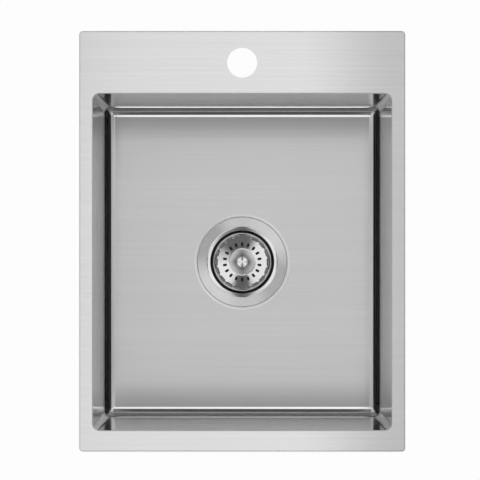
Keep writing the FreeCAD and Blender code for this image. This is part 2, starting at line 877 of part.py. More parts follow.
def hanger(name):
    body = new_body(name)
    sketch = new_sketch(body, name + "_strip", "XZ_Plane")
    outline(sketch, [
        (zero, hangerTop),
        (zero, footBase, size.hanger_bend + size.hanger_thick),
        (size.hanger_foot, footBase),
        (size.hanger_foot, footTop),
        (size.hanger_thick, footTop, size.hanger_bend),
        (size.hanger_thick, hangerTop),
    ])
    pad(body, sketch, size.hanger_width, True)
    sketch = new_sketch(body, name + "_barb", "XZ_Plane")
    outline(sketch, [
        (size.hanger_thick / 2, bridgeTop),
        (strapFace, bridgeTop),
        (size.hanger_thick, hangerTop),
        (size.hanger_thick / 2, hangerTop),
    ])
    pad(body, sketch, size.barb_width, True)
    sketch = new_sketch(body, name + "_hole", "XY_Plane", footBase)
    circle(sketch, size.screw_radius + size.screw_hole_clearance, size.screw_offset)
    cut_through(body, sketch)
    return body


screwCollarBase = footTop + size.running_clearance
screwCollarTop = screwCollarBase + size.screw_collar_thick
screwHeadTop = footBase - size.running_clearance
screwTip = -size.screw_tip
nutBottom = screwCollarTop + size.nut_rest_gap
clawBottom = nutBottom + size.nut_height + size.running_clearance


def screw(name):
    body = turned(name, [
        (zero, screwHeadTop),
        (size.screw_radius, screwHeadTop),
        (size.screw_radius, screwCollarBase),
        (size.screw_collar_radius, screwCollarBase),
        (size.screw_collar_radius, screwCollarTop),
        (size.screw_radius, screwCollarTop),
        (size.screw_radius, screwTip - size.screw_chamfer),
        (size.screw_radius - size.screw_chamfer, screwTip),
        (zero, screwTip),
    ])
    sketch = new_sketch(body, name + "_head", "XY_Plane", screwHeadTop - size.screw_head_height)
    hexagon(sketch, size.screw_flats)
    pad(body, sketch, size.screw_head_height)
    return body


bossTop = size.nut_height + size.claw_thick + size.running_clearance * 2


def nut(name):
    """A block that the wall keeps from turning, with a lipped boss that the claw swings on."""
    body = new_body(name)
    half = size.nut_width / 2
    sketch = new_sketch(body, name + "_block", "XY_Plane")
    rectangle(sketch, -half, half, -half, half, size.nut_edge_round)
    pad(body, sketch, size.nut_height)
    sketch = new_sketch(body, name + "_boss", "XY_Plane", size.nut_height)
    circle(sketch, size.boss_radius)
    pad(body, sketch, bossTop - size.nut_height)
    sketch = new_sketch(body, name + "_boss_lip", "XY_Plane", bossTop)
    circle(sketch, size.boss_lip_radius)
    pad(body, sketch, size.boss_lip_thick)
    sketch = new_sketch(body, name + "_thread", "XY_Plane")
    circle(sketch, size.screw_radius + size.running_clearance)
    cut_through(body, sketch)
    return body


# Half the width of a notch between two teeth, at its open end, as a share of their pitch
notchShare = 0.4


def claw(name):
    """A flat arm with an upturned, toothed end."""
    body = new_body(name)
    half = size.claw_width / 2
    upstandTop = size.claw_thick + size.claw_upstand
    sketch = new_sketch(body, name + "_eye", "XY_Plane")
    circle(sketch, size.claw_end_radius)
    pad(body, sketch, size.claw_thick)
    sketch = new_sketch(body, name + "_arm", "XZ_Plane")
    outline(sketch, [
        (zero, zero),
        (size.claw_length, zero, size.claw_bend + size.claw_thick),
        (size.claw_length, upstandTop),
        (size.claw_length - size.claw_thick, upstandTop),
        (size.claw_length - size.claw_thick, size.claw_thick, size.claw_bend),
        (zero, size.claw_thick),
    ])
    pad(body, sketch, size.claw_width, True)
    sketch = new_sketch(body, name + "_teeth", "YZ_Plane", size.claw_end_radius)
    pitch = size.claw_width / size.tooth_count
    notch = pitch * notchShare
    for i in range(dimensions["tooth_count"] - 1):
        middle = pitch * (i + 1) - half
        outline(sketch, [
            (middle, upstandTop - size.tooth_depth),
            (middle + notch, upstandTop + size.tooth_depth),
            (middle - notch, upstandTop + size.tooth_depth),
        ])
    cut_outward(body, sketch, size.claw_length)
    sketch = new_sketch(body, name + "_eye_hole", "XY_Plane")
    circle(sketch, size.boss_radius + size.running_clearance)
    cut_through(body, sketch)
    return body


bridges = []
hangers = []
for sideName, side in (("left", -1), ("right", 1)):
    for endName, end in (("front", -1), ("back", 1)):
        station = sideName + "_" + endName
        outward = FreeCAD.Rotation(zAxis, 90 - 90 * side)
        stowed = FreeCAD.Rotation(zAxis, -90 * end)
        wallX = wallFace * side
        screwX = (wallFace + size.screw_offset) * side
        stationY = size.clip_spacing * end / 2
        strap = bridge("bridge_" + station)
        place(strap, wallX, stationY, zero, outward)
        bridges.append(strap)
        strip = hanger("hanger_" + station)
        place(strip, wallX, stationY, zero, outward)
        hangers.append(strip)
        clampScrew = screw("clip_screw_" + station)
        place(clampScrew, screwX, stationY, zero)
        finish(clampScrew, "clip_screw_" + station)
        clampNut = nut("clip_nut_" + station)
        place(clampNut, screwX, stationY, nutBottom)
        finish(clampNut, "clip_nut_" + station)
        clampClaw = claw("clip_claw_" + station)
        place(clampClaw, screwX, stationY, clawBottom, stowed)
        finish(clampClaw, "clip_claw_" + station)

for label, pieces in (("clip_bridges", bridges), ("clip_hangers", hangers)):
    group = doc.addObject("Part::Compound", label)
    group.Links = pieces
    finish(group, label)

doc.recompute()
failed = [item.Name for item in doc.Objects if set(item.State) & {"Invalid", "Error"}]
for piece in finished:
    if piece.Shape.isNull() or not piece.Shape.isValid():
        failed.append(piece.Label)
if failed:
    raise RuntimeError("these pieces did not build: " + ", ".join(failed))

os.makedirs("parts", exist_ok=True)
for piece in finished:
    piece.Shape.exportStep(os.path.join("parts", piece.Label + ".step"))
    print(piece.Label, len(piece.Shape.Solids), "solids", round(piece.Shape.Volume), "mm3")
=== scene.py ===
import math

import bmesh
import bpy
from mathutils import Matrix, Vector


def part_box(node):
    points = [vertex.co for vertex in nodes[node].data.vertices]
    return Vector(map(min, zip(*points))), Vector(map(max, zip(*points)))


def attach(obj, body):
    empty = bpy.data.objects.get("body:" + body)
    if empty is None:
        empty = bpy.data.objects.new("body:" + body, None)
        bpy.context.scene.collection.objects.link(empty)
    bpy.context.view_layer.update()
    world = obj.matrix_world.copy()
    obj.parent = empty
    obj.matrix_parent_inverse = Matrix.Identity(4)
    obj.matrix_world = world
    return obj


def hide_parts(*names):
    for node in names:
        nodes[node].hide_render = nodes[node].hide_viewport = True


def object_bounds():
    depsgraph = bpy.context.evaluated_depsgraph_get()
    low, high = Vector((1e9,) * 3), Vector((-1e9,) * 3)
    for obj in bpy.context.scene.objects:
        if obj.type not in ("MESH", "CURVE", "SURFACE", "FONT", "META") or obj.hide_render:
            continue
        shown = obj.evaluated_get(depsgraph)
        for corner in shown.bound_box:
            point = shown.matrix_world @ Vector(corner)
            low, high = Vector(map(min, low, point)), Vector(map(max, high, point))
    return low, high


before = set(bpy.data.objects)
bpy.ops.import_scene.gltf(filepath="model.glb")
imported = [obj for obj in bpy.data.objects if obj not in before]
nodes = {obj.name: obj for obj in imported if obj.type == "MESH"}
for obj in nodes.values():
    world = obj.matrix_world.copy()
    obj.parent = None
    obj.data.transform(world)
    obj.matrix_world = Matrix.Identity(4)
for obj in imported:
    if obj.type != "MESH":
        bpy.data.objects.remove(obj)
cadBox = [list(corner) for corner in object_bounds()]
scene = bpy.context.scene
scene.view_settings.view_transform = "Standard"
print("frame:", len(nodes), "nodes")


# a socket that can be used in sums; each sum adds its Math node
class Wire:
    def __init__(self, finish, socket):
        self.finish = finish
        self.socket = socket

    def out(self, key):  # another output of the same node
        return Wire(self.finish, self.socket.node.outputs[key])

    def __add__(self, other):
        return self.finish.calc("ADD", self, other)

    def __radd__(self, other):
        return self.finish.calc("ADD", other, self)

    def __sub__(self, other):
        return self.finish.calc("SUBTRACT", self, other)

    def __rsub__(self, other):
        return self.finish.calc("SUBTRACT", other, self)

    def __mul__(self, other):
        return self.finish.calc("MULTIPLY", self, other)

    def __rmul__(self, other):
        return self.finish.calc("MULTIPLY", other, self)

    def __truediv__(self, other):
        return self.finish.calc("DIVIDE", self, other)

    def __rtruediv__(self, other):
        return self.finish.calc("DIVIDE", other, self)

    def __pow__(self, other):
        return self.finish.calc("POWER", self, other)

    def __rpow__(self, other):
        return self.finish.calc("POWER", other, self)

    def __abs__(self):
        return self.finish.calc("ABSOLUTE", self)


# kinds of noise: detail and roughness
noiseKinds = {
    "scratch": (5.0, 0.62),
    "band": (3.0, 0.5),
    "cloud": (2.0, 0.5),
    "mottle": (6.0, 0.6),
    "roll": (4.0, 0.6),
    "grain": (5.0, 0.6),
}
noiseMean = 0.5


# the node tree of a material or of the world
class Finish:
    def __init__(self, owner):
        owner.use_nodes = True
        self.owner = owner
        self.tree = owner.node_tree
        self.tree.nodes.clear()

    def node(self, kind, settings=None, sockets=None, out=0):
        made = self.tree.nodes.new(kind)
        for key, value in (settings or {}).items():
            setattr(made, key, value)
        for key, value in (sockets or {}).items():
            if isinstance(value, Wire):
                self.tree.links.new(value.socket, made.inputs[key])
            else:
                made.inputs[key].default_value = value
        return Wire(self, made.outputs[out]) if len(made.outputs) else made

    def calc(self, operation, *values):
        return self.node("ShaderNodeMath", {"operation": operation}, dict(enumerate(values)))

    def place(self):  # position on the piece, in metres
        return self.node("ShaderNodeTexCoord").out("Object")

    def axes(self, vector):
        split = self.node("ShaderNodeSeparateXYZ", {}, {0: vector})
        return split, split.out(1), split.out(2)

    def stretch(self, vector, factors):
        return self.node("ShaderNodeVectorMath", {"operation": "MULTIPLY"}, {0: vector, 1: factors})

    def noise(self, kind, vector, scale=1.0):
        detail, rough = noiseKinds[kind]
        return self.node("ShaderNodeTexNoise", {},
                         {"Vector": vector, "Scale": scale, "Detail": detail, "Roughness": rough})

    def fade(self, value, low, high, first=0.0, last=1.0):  # soft step between two values
        return self.node("ShaderNodeMapRange", {"interpolation_type": "SMOOTHSTEP"},
                         {0: value, 1: low, 2: high, 3: first, 4: last})

    def fall(self, value, low, high):  # soft step from one down to nothing
        return self.fade(value, low, high, 1.0, 0.0)

    def mixColour(self, factor, first, last):
        return self.node("ShaderNodeMix", {"data_type": "RGBA"}, {0: factor, 6: first, 7: last}, 2)

    def bump(self, height, distance):
        return self.node("ShaderNodeBump", {}, {"Height": height, "Distance": distance}, "Normal")

    def cover(self, sockets):
        shader = self.node("ShaderNodeBsdfPrincipled", {}, sockets)
        self.node("ShaderNodeOutputMaterial", {}, {"Surface": shader})
        return self.owner

    def metal(self, sockets):
        return self.cover(dict(sockets, Metallic=1.0))


def newFinish(name):
    return Finish(bpy.data.materials.new(name))


def swing(noise):  # a noise about its mean
    return noise - noiseMean


def grey(level, warm=0.0):
    return (level * (1 + warm), level, level * (1 - warm), 1.0)


# camera: straight down over the bowl
cameraLook = {
    "height": 2.112,       # above the worktop
    "frameWidth": 0.5587,  # what the picture's width takes in at the rim
    "shift": (-0.0046, 0.0457),
    "sensor": 36,
}
cameraData = bpy.data.cameras.new("photoCamera")
camera = bpy.data.objects.new("photoCamera", cameraData)
scene.collection.objects.link(camera)
scene.camera = camera
camera.location = (0, 0, cameraLook["height"])
aboveRim = cameraLook["height"] - cadBox[1][2]
cameraData.sensor_width = cameraLook["sensor"]
cameraData.lens = cameraLook["sensor"] * aboveRim / cameraLook["frameWidth"]
cameraData.shift_x, cameraData.shift_y = cameraLook["shift"]
print("camera: lens", round(cameraData.lens, 1))

# room: one wide soft box overhead, pale walls all round and four dark cards beside the box
# places are parts of a direction: 0 is overhead, 1 at the horizon
roomLook = {
    "overhead": 1.18,           # the box along its middle
    "edge": 0.95,               # and further to the left and right
    "middle": (0.10, 0.20),     # where the one passes into the other
    "boxX": (0.63, 0.70),       # where the box ends to the left and right
    "boxY": (0.40, 0.51),       # and to the front and back
    "lean": -0.03,              # the box is brighter on the right
    "leanEnds": (-0.12, 0.12),
    "leanFar": (0.20, 0.35),    # and even again further out
    "walls": 0.70,              # the room round the box
    "halves": (-0.05, 0.05),    # where the front half of the room passes into the back half
    "sideCards": (0.14, 0.25),  # half width of the cards on the left and right, with their soft edge
    "sideLevel": 0.01,
    "frontCard": (0.50, 0.17),  # half width of the front card, close to the box and further down
    "frontLevel": 0.11,
    "backCard": (0.25, 0.17),
    "backLevel": 0.09,
    "cardSoft": (0.5, 1.0),     # the soft edge of those two, in half widths
    "cardTaper": (0.57, 0.64),  # where they narrow
    "cardLean": 0.10,           # close to the box the front card stands to the right
    "cardEnd": (0.885, 0.915),  # how far down the cards reach
    "horizon": 0.9,
    "lowSky": (0.0, 0.25),      # heights over which the room evens out to the horizon
    "flagTurn": 30,             # a flag across the box, which the waste's flange mirrors
    "flagWidth": (0.10, 0.24),
    "flagNear": (0.14, 0.22),
    "flagFar": (0.36, 0.48),
    "flagDepth": 0.97,
}
world = bpy.data.worlds.new("studio")
scene.world = world
room = Finish(world)
dirX, dirY, dirZ = room.axes(room.node("ShaderNodeTexCoord").out("Generated"))
awayX, awayY = abs(dirX), abs(dirY)
spread = (dirX * dirX + dirY * dirY) ** 0.5

inX = room.fall(awayX, *roomLook["boxX"])
inY = room.fall(awayY, *roomLook["boxY"])
flagAngle = math.radians(roomLook["flagTurn"])
alongFlag = abs(dirX * math.cos(flagAngle) - dirY * math.sin(flagAngle))
acrossFlag = abs(dirX * math.sin(flagAngle) + dirY * math.cos(flagAngle))
flag = room.fade(acrossFlag, *roomLook["flagWidth"], roomLook["flagDepth"], 0.0)
flag = flag * room.fade(alongFlag, *roomLook["flagNear"]) * room.fall(alongFlag, *roomLook["flagFar"])
lean = room.fade(dirX, *roomLook["leanEnds"], roomLook["lean"], -roomLook["lean"])
lean = lean * room.fall(awayX, *roomLook["leanFar"]) + 1
box = room.fade(awayX, *roomLook["middle"], roomLook["overhead"], roomLook["edge"]) * lean * (1 - flag)

above = room.fall(spread, *roomLook["cardEnd"])
sideCards = room.fall(awayY, *roomLook["sideCards"]) * (1 - inX) * above
inFront = room.fall(dirY, *roomLook["halves"])
beyond = room.fade(spread, *roomLook["boxY"]) * above
frontMiddle = room.fade(spread, *roomLook["cardTaper"], roomLook["cardLean"], 0.0)
frontWidth = room.fade(spread, *roomLook["cardTaper"], *roomLook["frontCard"])
backWidth = room.fade(spread, *roomLook["cardTaper"], *roomLook["backCard"])
frontCard = room.fall(abs(dirX - frontMiddle) / frontWidth, *roomLook["cardSoft"]) * beyond * inFront
backCard = room.fall(awayX / backWidth, *roomLook["cardSoft"]) * beyond * (1 - inFront)

walls = sideCards * (roomLook["sideLevel"] - roomLook["walls"]) + roomLook["walls"]
sky = walls + inX * inY * (box - walls)
sky = sky + frontCard * (roomLook["frontLevel"] - sky)
sky = sky + backCard * (roomLook["backLevel"] - sky)
light = room.fade(dirZ, *roomLook["lowSky"]) * (sky - roomLook["horizon"]) + roomLook["horizon"]
background = room.node("ShaderNodeBackground", {}, {"Color": grey(1.0), "Strength": light})
room.node("ShaderNodeOutputWorld", {}, {"Surface": background})

# floor of the studio, just under the waste's outlet and clear from below
floorLook = {"gap": 0.0015, "half": 12.0, "colour": grey(0.92), "glow": 0.96}
half = floorLook["half"]
floorMesh = bpy.data.meshes.new("studioFloor")
floorMesh.from_pydata([(-half, -half, 0), (half, -half, 0), (half, half, 0), (-half, half, 0)],
                      [], [(0, 1, 2, 3)])
floor = bpy.data.objects.new("studioFloor", floorMesh)
floor.location.z = cadBox[0][2] - floorLook["gap"]
scene.collection.objects.link(floor)
paint = newFinish("studioFloor")
path = paint.node("ShaderNodeLightPath")
seen = paint.calc("MAXIMUM", path.out("Is Camera Ray"), path.out("Is Glossy Ray"))
seen = paint.calc("MAXIMUM", seen, path.out("Is Transmission Ray"))
matt = paint.node("ShaderNodeBsdfDiffuse", {}, {"Color": floorLook["colour"]})
glow = paint.node("ShaderNodeEmission", {}, {"Color": grey(1.0), "Strength": 1.0})
pale = paint.node("ShaderNodeMixShader", {}, {0: seen * floorLook["glow"], 1: matt, 2: glow})
clear = paint.node("ShaderNodeBsdfTransparent")
below = paint.node("ShaderNodeNewGeometry").out("Backfacing")
oneSided = paint.node("ShaderNodeMixShader", {}, {0: below, 1: pale, 2: clear})
paint.node("ShaderNodeOutputMaterial", {}, {"Surface": oneSided})
floorMesh.materials.append(paint.owner)
print("studio ready")

# mesh helpers
meshLook = {
    "weld": 2e-6,      # points closer than this are one
    "leastEdge": 1e-7,
    "sharp": 32,       # edges that turn by more stay sharp, in degrees
    "leastCorner": 0.0004,
    "cornerSteps": 6,
}


def newPiece(name, verts, faces):
    mesh = bpy.data.meshes.new(name)
    mesh.from_pydata(verts, [], faces)
    mesh.validate()
    for face in mesh.polygons:
        face.use_smooth = True
    piece = bpy.data.objects.new(name, mesh)
    scene.collection.objects.link(piece)
    return piece


def evenNormals(piece, sharp=meshLook["sharp"]):
    shape = bmesh.new()
    shape.from_mesh(piece.data)
    for face in shape.faces:
        face.smooth = True
    for edge in shape.edges:
        edge.smooth = edge.calc_face_angle(0) < math.radians(sharp)
    shape.to_mesh(piece.data)
    shape.free()
    even = piece.modifiers.new("evenNormals", "WEIGHTED_NORMAL")
    even.mode = "FACE_AREA"
    even.keep_sharp = True
    return piece


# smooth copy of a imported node: corners joined again, so that its bends reflect evenly
def smoothCopy(nodeName, pieceName):
    mesh = bpy.data.meshes.new(pieceName)
    shape = bmesh.new()
    shape.from_mesh(nodes[nodeName].data)
    bmesh.ops.remove_doubles(shape, verts=shape.verts, dist=meshLook["weld"])
    bmesh.ops.dissolve_degenerate(shape, edges=shape.edges, dist=meshLook["leastEdge"])
    shape.to_mesh(mesh)
    shape.free()
    if "custom_normal" in mesh.attributes:
        mesh.attributes.remove(mesh.attributes["custom_normal"])
    mesh.materials.clear()
    piece = bpy.data.objects.new(pieceName, mesh)
    scene.collection.objects.link(piece)
    return evenNormals(piece)


def settle(piece, body, slot, *replaced):
    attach(piece, body)
    if replaced:
        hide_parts(*replaced)
    return piece


# gives each face of a piece one of several finishes
def dress(piece, finishes, choose):
    for finish in finishes:
        piece.data.materials.append(finish)
    for face in piece.data.polygons:
        face.material_index = finishes.index(choose(face))


def paintNode(material, *names):
    for name in names:
        mesh = nodes[name].data
        mesh.materials.clear()
        mesh.materials.append(material)


# faces between rows of points; the last row joins the first in a loop, or else both ends are closed
def rowFaces(rows, count, loop=False, flip=False):
    faces = []
    for row in range(rows if loop else rows - 1):
        after = (row + 1) % rows
        for step in range(count):
            side = (step + 1) % count
            faces.append((row * count + step, row * count + side, after * count + side, after * count + step))
    if not loop:
        faces.append(tuple(reversed(range(count))))
        faces.append(tuple(range((rows - 1) * count, rows * count)))
    return [face[:1] + face[:0:-1] for face in faces] if flip else faces


# rings of points, one above the other; a radius may depend on the angle
def ringPiece(name, rows, steps, axis=(0, 0), loop=False):
    verts = []
    for radius, height in rows:
        for step in range(steps):
            angle = 2 * math.pi * step / steps
            reach = radius(angle) if callable(radius) else radius
            verts.append((axis[0] + reach * math.cos(angle), axis[1] + reach * math.sin(angle), height))
    return newPiece(name, verts, rowFaces(len(rows), steps, loop))


# screw thread, as rings whose radius follows the angle; it runs out over one pitch at both ends
threadLook = {
    "crest": 1.4,     # steepness of a ridge, which is cut flat at its full height
    "perTurn": 10,    # rings in one pitch
    "lift": 0.00005,  # how far a sleeve's root stands off its cylinder
    "sunk": 0.0006,   # and how deep its inside lies in it
}


def threadRows(root, look, low, high, perTurn):
    pitch = look["pitch"]

    def reach(height):
        runOut = max(0.0, min(1.0, (height - low) / pitch, (high - height) / pitch))

        def radius(angle):
            turn = (height / pitch - angle / (2 * math.pi)) % 1
            ridge = min(1.0, threadLook["crest"] * (1 - abs(2 * turn - 1)))
            return root + look["depth"] * runOut * ridge
        return radius

    count = round((high - low) / pitch * perTurn)
    heights = [low + (high - low) * row / count for row in range(count + 1)]
    return [(reach(height), height) for height in heights]


# threaded sleeve on a plain cylinder
def threadSleeve(name, look):
    low, high = look["low"], look["high"]
    inside = look["radius"] - threadLook["sunk"]
    rows = threadRows(look["radius"] + threadLook["lift"], look, low, high, threadLook["perTurn"])
    return ringPiece(name, [(inside, low)] + rows + [(inside, high)], look["steps"], loop=True)


# rounded rectangle, drawn in from an outer one by an inset
def roundedOutline(halfWidth, low, high, corner, inset):
    radius = max(corner - inset, meshLook["leastCorner"])
    right = halfWidth - inset - radius
    top = high - inset - radius
    bottom = low + inset + radius
    points = []
    for x, y, start in ((right, top, 0), (-right, top, 90), (-right, bottom, 180), (right, bottom, 270)):
        for step in range(meshLook["cornerSteps"] + 1):
            angle = math.radians(start + 90 * step / meshLook["cornerSteps"])
            points.append((x + radius * math.cos(angle), y + radius * math.sin(angle)))
    return points


# brushed sheet: long fine scratches along one axis
sheetLook = {
    "dark": grey(0.54), "light": grey(0.745),
    "rough": 0.29, "roughSpread": 0.06,
    "brushing": 1.0, "turn": 0.25,
    "grain": (9.0, 1400.0, 1400.0),
    "broad": 0.22,         # the broad bands' grain, as a share of the fine one
    "cloudScale": 5.0,
    "streak": 0.5, "band": 0.35, "cloud": 0.2,
    "scratch": 0.000004,
    "zone": None,          # where the sheet's look changes, as distances from the origin
    "zoneAxis": 0,         # and along which axis
    "zoneBelow": 1.0,      # how much of the change shows on the negative side
    "zoneMiddle": (-0.05, 0.05),
    "paintedShade": 0.0, "zoneRough": 0.0, "zoneTilt": 0.0,
    "tilt": 0.0,           # level scratches tip the light up and down, not sideways
}
# bends and edges have an even grain and no brushing
polishedLook = dict(sheetLook, grain=(60.0, 60.0, 60.0), rough=0.12, roughSpread=0.03, brushing=0.0)
satinLook = dict(polishedLook, roughSpread=0.06)


def brushedSheet(name, look):
    steel = newFinish(name)
    place = steel.place()
    fine = steel.noise("scratch", steel.stretch(place, look["grain"]))
    broad = steel.noise("band", steel.stretch(place, [value * look["broad"] for value in look["grain"]]))
    cloud = steel.noise("cloud", place, look["cloudScale"])
    streak = swing(fine) * look["streak"] + swing(broad) * look["band"] + swing(cloud) * look["cloud"]
    colour = steel.mixColour(streak + noiseMean, look["dark"], look["light"])
    rough = swing(fine) * look["roughSpread"] + look["rough"]
    near = 0.0
    if look["zone"]:
        away = steel.axes(place)[look["zoneAxis"]]
        side = steel.fade(away, *look["zoneMiddle"], look["zoneBelow"], 1.0)
        near = steel.fade(abs(away), *look["zone"]) * side
        # painted shade: the sheet is made darker inside the zone, by paintedShade
        colour = steel.mixColour(near * look["paintedShade"], colour, grey(0.0))
        rough = rough + near * look["zoneRough"]
    if look["tilt"]:
        tilt = near * look["zoneTilt"] + look["tilt"]
        tip = steel.node("ShaderNodeCombineXYZ", {}, {2: swing(fine) * tilt})
        facing = steel.node("ShaderNodeNewGeometry").out("Normal")
        tipped = steel.node("ShaderNodeVectorMath", {"operation": "ADD"}, {0: facing, 1: tip})
        normal = steel.node("ShaderNodeVectorMath", {"operation": "NORMALIZE"}, {0: tipped})
    else:
        normal = steel.bump(fine, look["scratch"])
    return steel.metal({"Base Color": colour, "Roughness": rough, "Anisotropic": look["brushing"],
                        "Anisotropic Rotation": look["turn"], "Normal": normal})


# painted shade: the floor is made darker and rougher towards its front and back bends, a little less at the
# front
floorSteel = brushedSheet("brushedFloor", dict(
    sheetLook, zoneAxis=1, zone=(0.146, 0.186), zoneBelow=0.8, paintedShade=0.22, zoneRough=0.08))
wallSteel = brushedSheet("brushedWalls", dict(
    sheetLook, grain=(9.0, 9.0, 1400.0), rough=0.12, roughSpread=0.04, dark=grey(0.84), light=grey(0.98),
    zoneAxis=2, zone=(0.05, 0.16), zoneRough=0.04, tilt=0.3, zoneTilt=0.4))
# painted shade: the side bends are made nearly black beyond 168 mm out, in place of a dark reflection there
sideBendSteel = brushedSheet("polishedSideBends", dict(
    polishedLook, rough=0.32, dark=grey(0.57), light=grey(0.71),
    zoneAxis=0, zone=(0.1658, 0.1684), paintedShade=0.92, zoneRough=-0.20))
# painted shade: the end bends are made darker beyond 190 mm out, a little less at the front
endBendSteel = brushedSheet("polishedEndBends", dict(
    polishedLook, dark=grey(0.70), light=grey(0.86),
    zoneAxis=1, zone=(0.1880, 0.1902), zoneBelow=0.8, paintedShade=0.42))
edgeSteel = brushedSheet("groundEdge", dict(polishedLook, dark=grey(0.74), light=grey(0.90)))
# painted shade: the deck is made darker towards its right edge
deckSteel = brushedSheet("brushedDeck", dict(
    sheetLook, rough=0.21, roughSpread=0.04, dark=grey(0.60), light=grey(0.81),
    zoneAxis=0, zone=(0.06, 0.18), zoneBelow=0.0, paintedShade=0.26))
seatSteel = brushedSheet("satinSeat", dict(satinLook, rough=0.42, dark=grey(0.80), light=grey(0.96)))
mouthSteel = brushedSheet("satinMouth", dict(satinLook, rough=0.58, dark=grey(0.66), light=grey(0.84)))


# rolled sheet and plating: dull and mottled
def rolledSheet(name, look):
    steel = newFinish(name)
    place = steel.place()
    mottle = steel.noise("mottle", place, look["mottle"])
    roll = steel.noise("roll", steel.stretch(place, look["roll"]))
    share = look["mottleShare"]
    colour = steel.mixColour(mottle * share + roll * (1 - share), look["dark"], look["light"])
    rough = swing(mottle) * look["roughSpread"] + look["rough"]
    normal = steel.bump(roll + mottle, look["grainDepth"])
    return steel.metal({"Base Color": colour, "Roughness": rough, "Normal": normal})


dullSteel = rolledSheet("rolledSteel", {
    "dark": grey(0.46), "light": grey(0.66), "rough": 0.40, "roughSpread": 0.2,
    "mottle": 60.0, "mottleShare": 0.6, "roll": (40.0, 40.0, 900.0), "grainDepth": 0.00002})
zincSteel = rolledSheet("zincPlate", {
    "dark": (0.50, 0.52, 0.55, 1), "light": (0.74, 0.74, 0.71, 1), "rough": 0.34, "roughSpread": 0.25,
    "mottle": 240.0, "mottleShare": 0.6, "roll": (500.0, 500.0, 60.0), "grainDepth": 0.00003})

# middle of the brushing, so far to the front that it runs straight along X
brushLook = {"middle": (0, -20, 0), "size": (1, 1, 1)}


def brushStraight(piece):
    piece.data.use_auto_texspace = False
    piece.data.texspace_location = brushLook["middle"]
    piece.data.texspace_size = brushLook["size"]


# bowl
bowlLook = {
    "innerX": 0.1746, "innerY": 0.1966, "innerFloor": -0.1976,  # between the sheet's two sides
    "seat": 0.0612,        # radius of the waste's seat
    "seatFacing": 0.3,     # how far a face of the seat looks up
    "flat": 0.9995, "upright": 0.02,
}


def bowlFinish(face):
    x, y, z = face.center
    onSeat = math.hypot(x, y) < bowlLook["seat"]
    inside = abs(x) < bowlLook["innerX"] and abs(y) < bowlLook["innerY"] and z > bowlLook["innerFloor"]
    if onSeat:
        inside = face.normal.z > bowlLook["seatFacing"]
    if not inside:
        return dullSteel
    if abs(face.normal.z) > bowlLook["flat"]:
        return floorSteel
    if onSeat:
        return seatSteel
    if abs(face.normal.z) < bowlLook["upright"]:
        return wallSteel
    return sideBendSteel if abs(face.normal.x) > abs(face.normal.y) else endBendSteel


bowl = smoothCopy("bowl", "bowlShell")
dress(bowl, (floorSteel, wallSteel, sideBendSteel, endBendSteel, seatSteel, dullSteel), bowlFinish)
brushStraight(bowl)
settle(bowl, "sink", "sheet_steel", "bowl")

# the floor pan's upturned edges, a little proud of the back and front walls
edgeLook = {
    "wall": 0.1960, "top": -0.1775, "foot": -0.1905,
    "half": 0.1640, "taper": 0.008, "least": 0.05,  # half length, and how the ends run out
    "sunk": 0.0006, "back": 0.0013, "front": 0.0004,  # depth into the wall, and how proud they are
    "slope": 8, "round": (0.85, 0.3),  # the top's slope and its rounded corner, in shares of the depth
    "stations": 61,
}


def panEdge(name, side, depth):
    stations = edgeLook["stations"]
    height = edgeLook["top"] - edgeLook["foot"]
    roundStart, roundFall = edgeLook["round"]
    verts = []
    for station in range(stations):
        x = edgeLook["half"] * (2 * station / (stations - 1) - 1)
        proud = depth * min(1.0, (edgeLook["half"] - abs(x)) / edgeLook["taper"] + edgeLook["least"])
        drop = proud * math.tan(math.radians(edgeLook["slope"]))
        section = ((-edgeLook["sunk"], 0), (0, 0), (proud * roundStart, drop),
                   (proud, drop + proud * roundFall), (proud, height), (-edgeLook["sunk"], height))
        for out, fall in section:
            verts.append((x, side * (edgeLook["wall"] - out), edgeLook["top"] - fall))
    piece = newPiece(name, verts, rowFaces(stations, len(section), flip=side < 0))
    evenNormals(piece)
    piece.data.materials.append(edgeSteel)
    return settle(piece, "sink", "sheet_steel")


panEdge("panEdgeBack", 1, edgeLook["back"])
panEdge("panEdgeFront", -1, edgeLook["front"])

# deck
deckLook = {"mouthMargin": 0.003, "flat": 0.999, "bend": 0.05, "under": -0.5}


def deckFinish(face):
    x, y, z = face.center
    margin = deckLook["mouthMargin"]
    inMouth = abs(x) < bowlLook["innerX"] + margin and abs(y) < bowlLook["innerY"] + margin
    if face.normal.z < deckLook["under"]:
        return dullSteel
    if face.normal.z > deckLook["flat"] or not inMouth:
        return deckSteel
    return mouthSteel if face.normal.z > deckLook["bend"] else wallSteel


deck = smoothCopy("rim_deck", "deckSheet")
dress(deck, (deckSteel, mouthSteel, wallSteel, dullSteel), deckFinish)
brushStraight(deck)
settle(deck, "sink", "sheet_steel", "rim_deck")
print("sheet pieces ready")

# turned steel: fine rings round the waste's axis
turnedLook = {
    "rings": 1800.0, "ringShare": 0.7, "cloudScale": 40.0,
    "roughSpread": 0.08, "scratch": 0.000001,
    "brushing": 0.0, "turn": 0.0,
    "hub": None, "paintedHubShade": 0.0,  # painted shade, darker round the middle
}


def turnedSteel(name, look):
    steel = newFinish(name)
    place = steel.place()
    x, y, z = steel.axes(place)
    radius = (x * x + y * y) ** 0.5
    ring = steel.node("ShaderNodeCombineXYZ", {}, {0: radius * look["rings"], 1: z * look["rings"]})
    fine = steel.noise("roll", ring)
    cloud = steel.noise("band", place, look["cloudScale"])
    share = look["ringShare"]
    colour = steel.mixColour(fine * share + cloud * (1 - share), look["dark"], look["light"])
    if look["hub"]:
        hub = steel.fade(radius, *look["hub"], look["paintedHubShade"], 0.0)
        colour = steel.mixColour(hub, colour, grey(0.0))
    rough = swing(fine) * look["roughSpread"] + look["rough"]
    normal = steel.bump(fine, look["scratch"])
    return steel.metal({"Base Color": colour, "Roughness": rough, "Anisotropic": look["brushing"],
                        "Anisotropic Rotation": look["turn"], "Normal": normal})


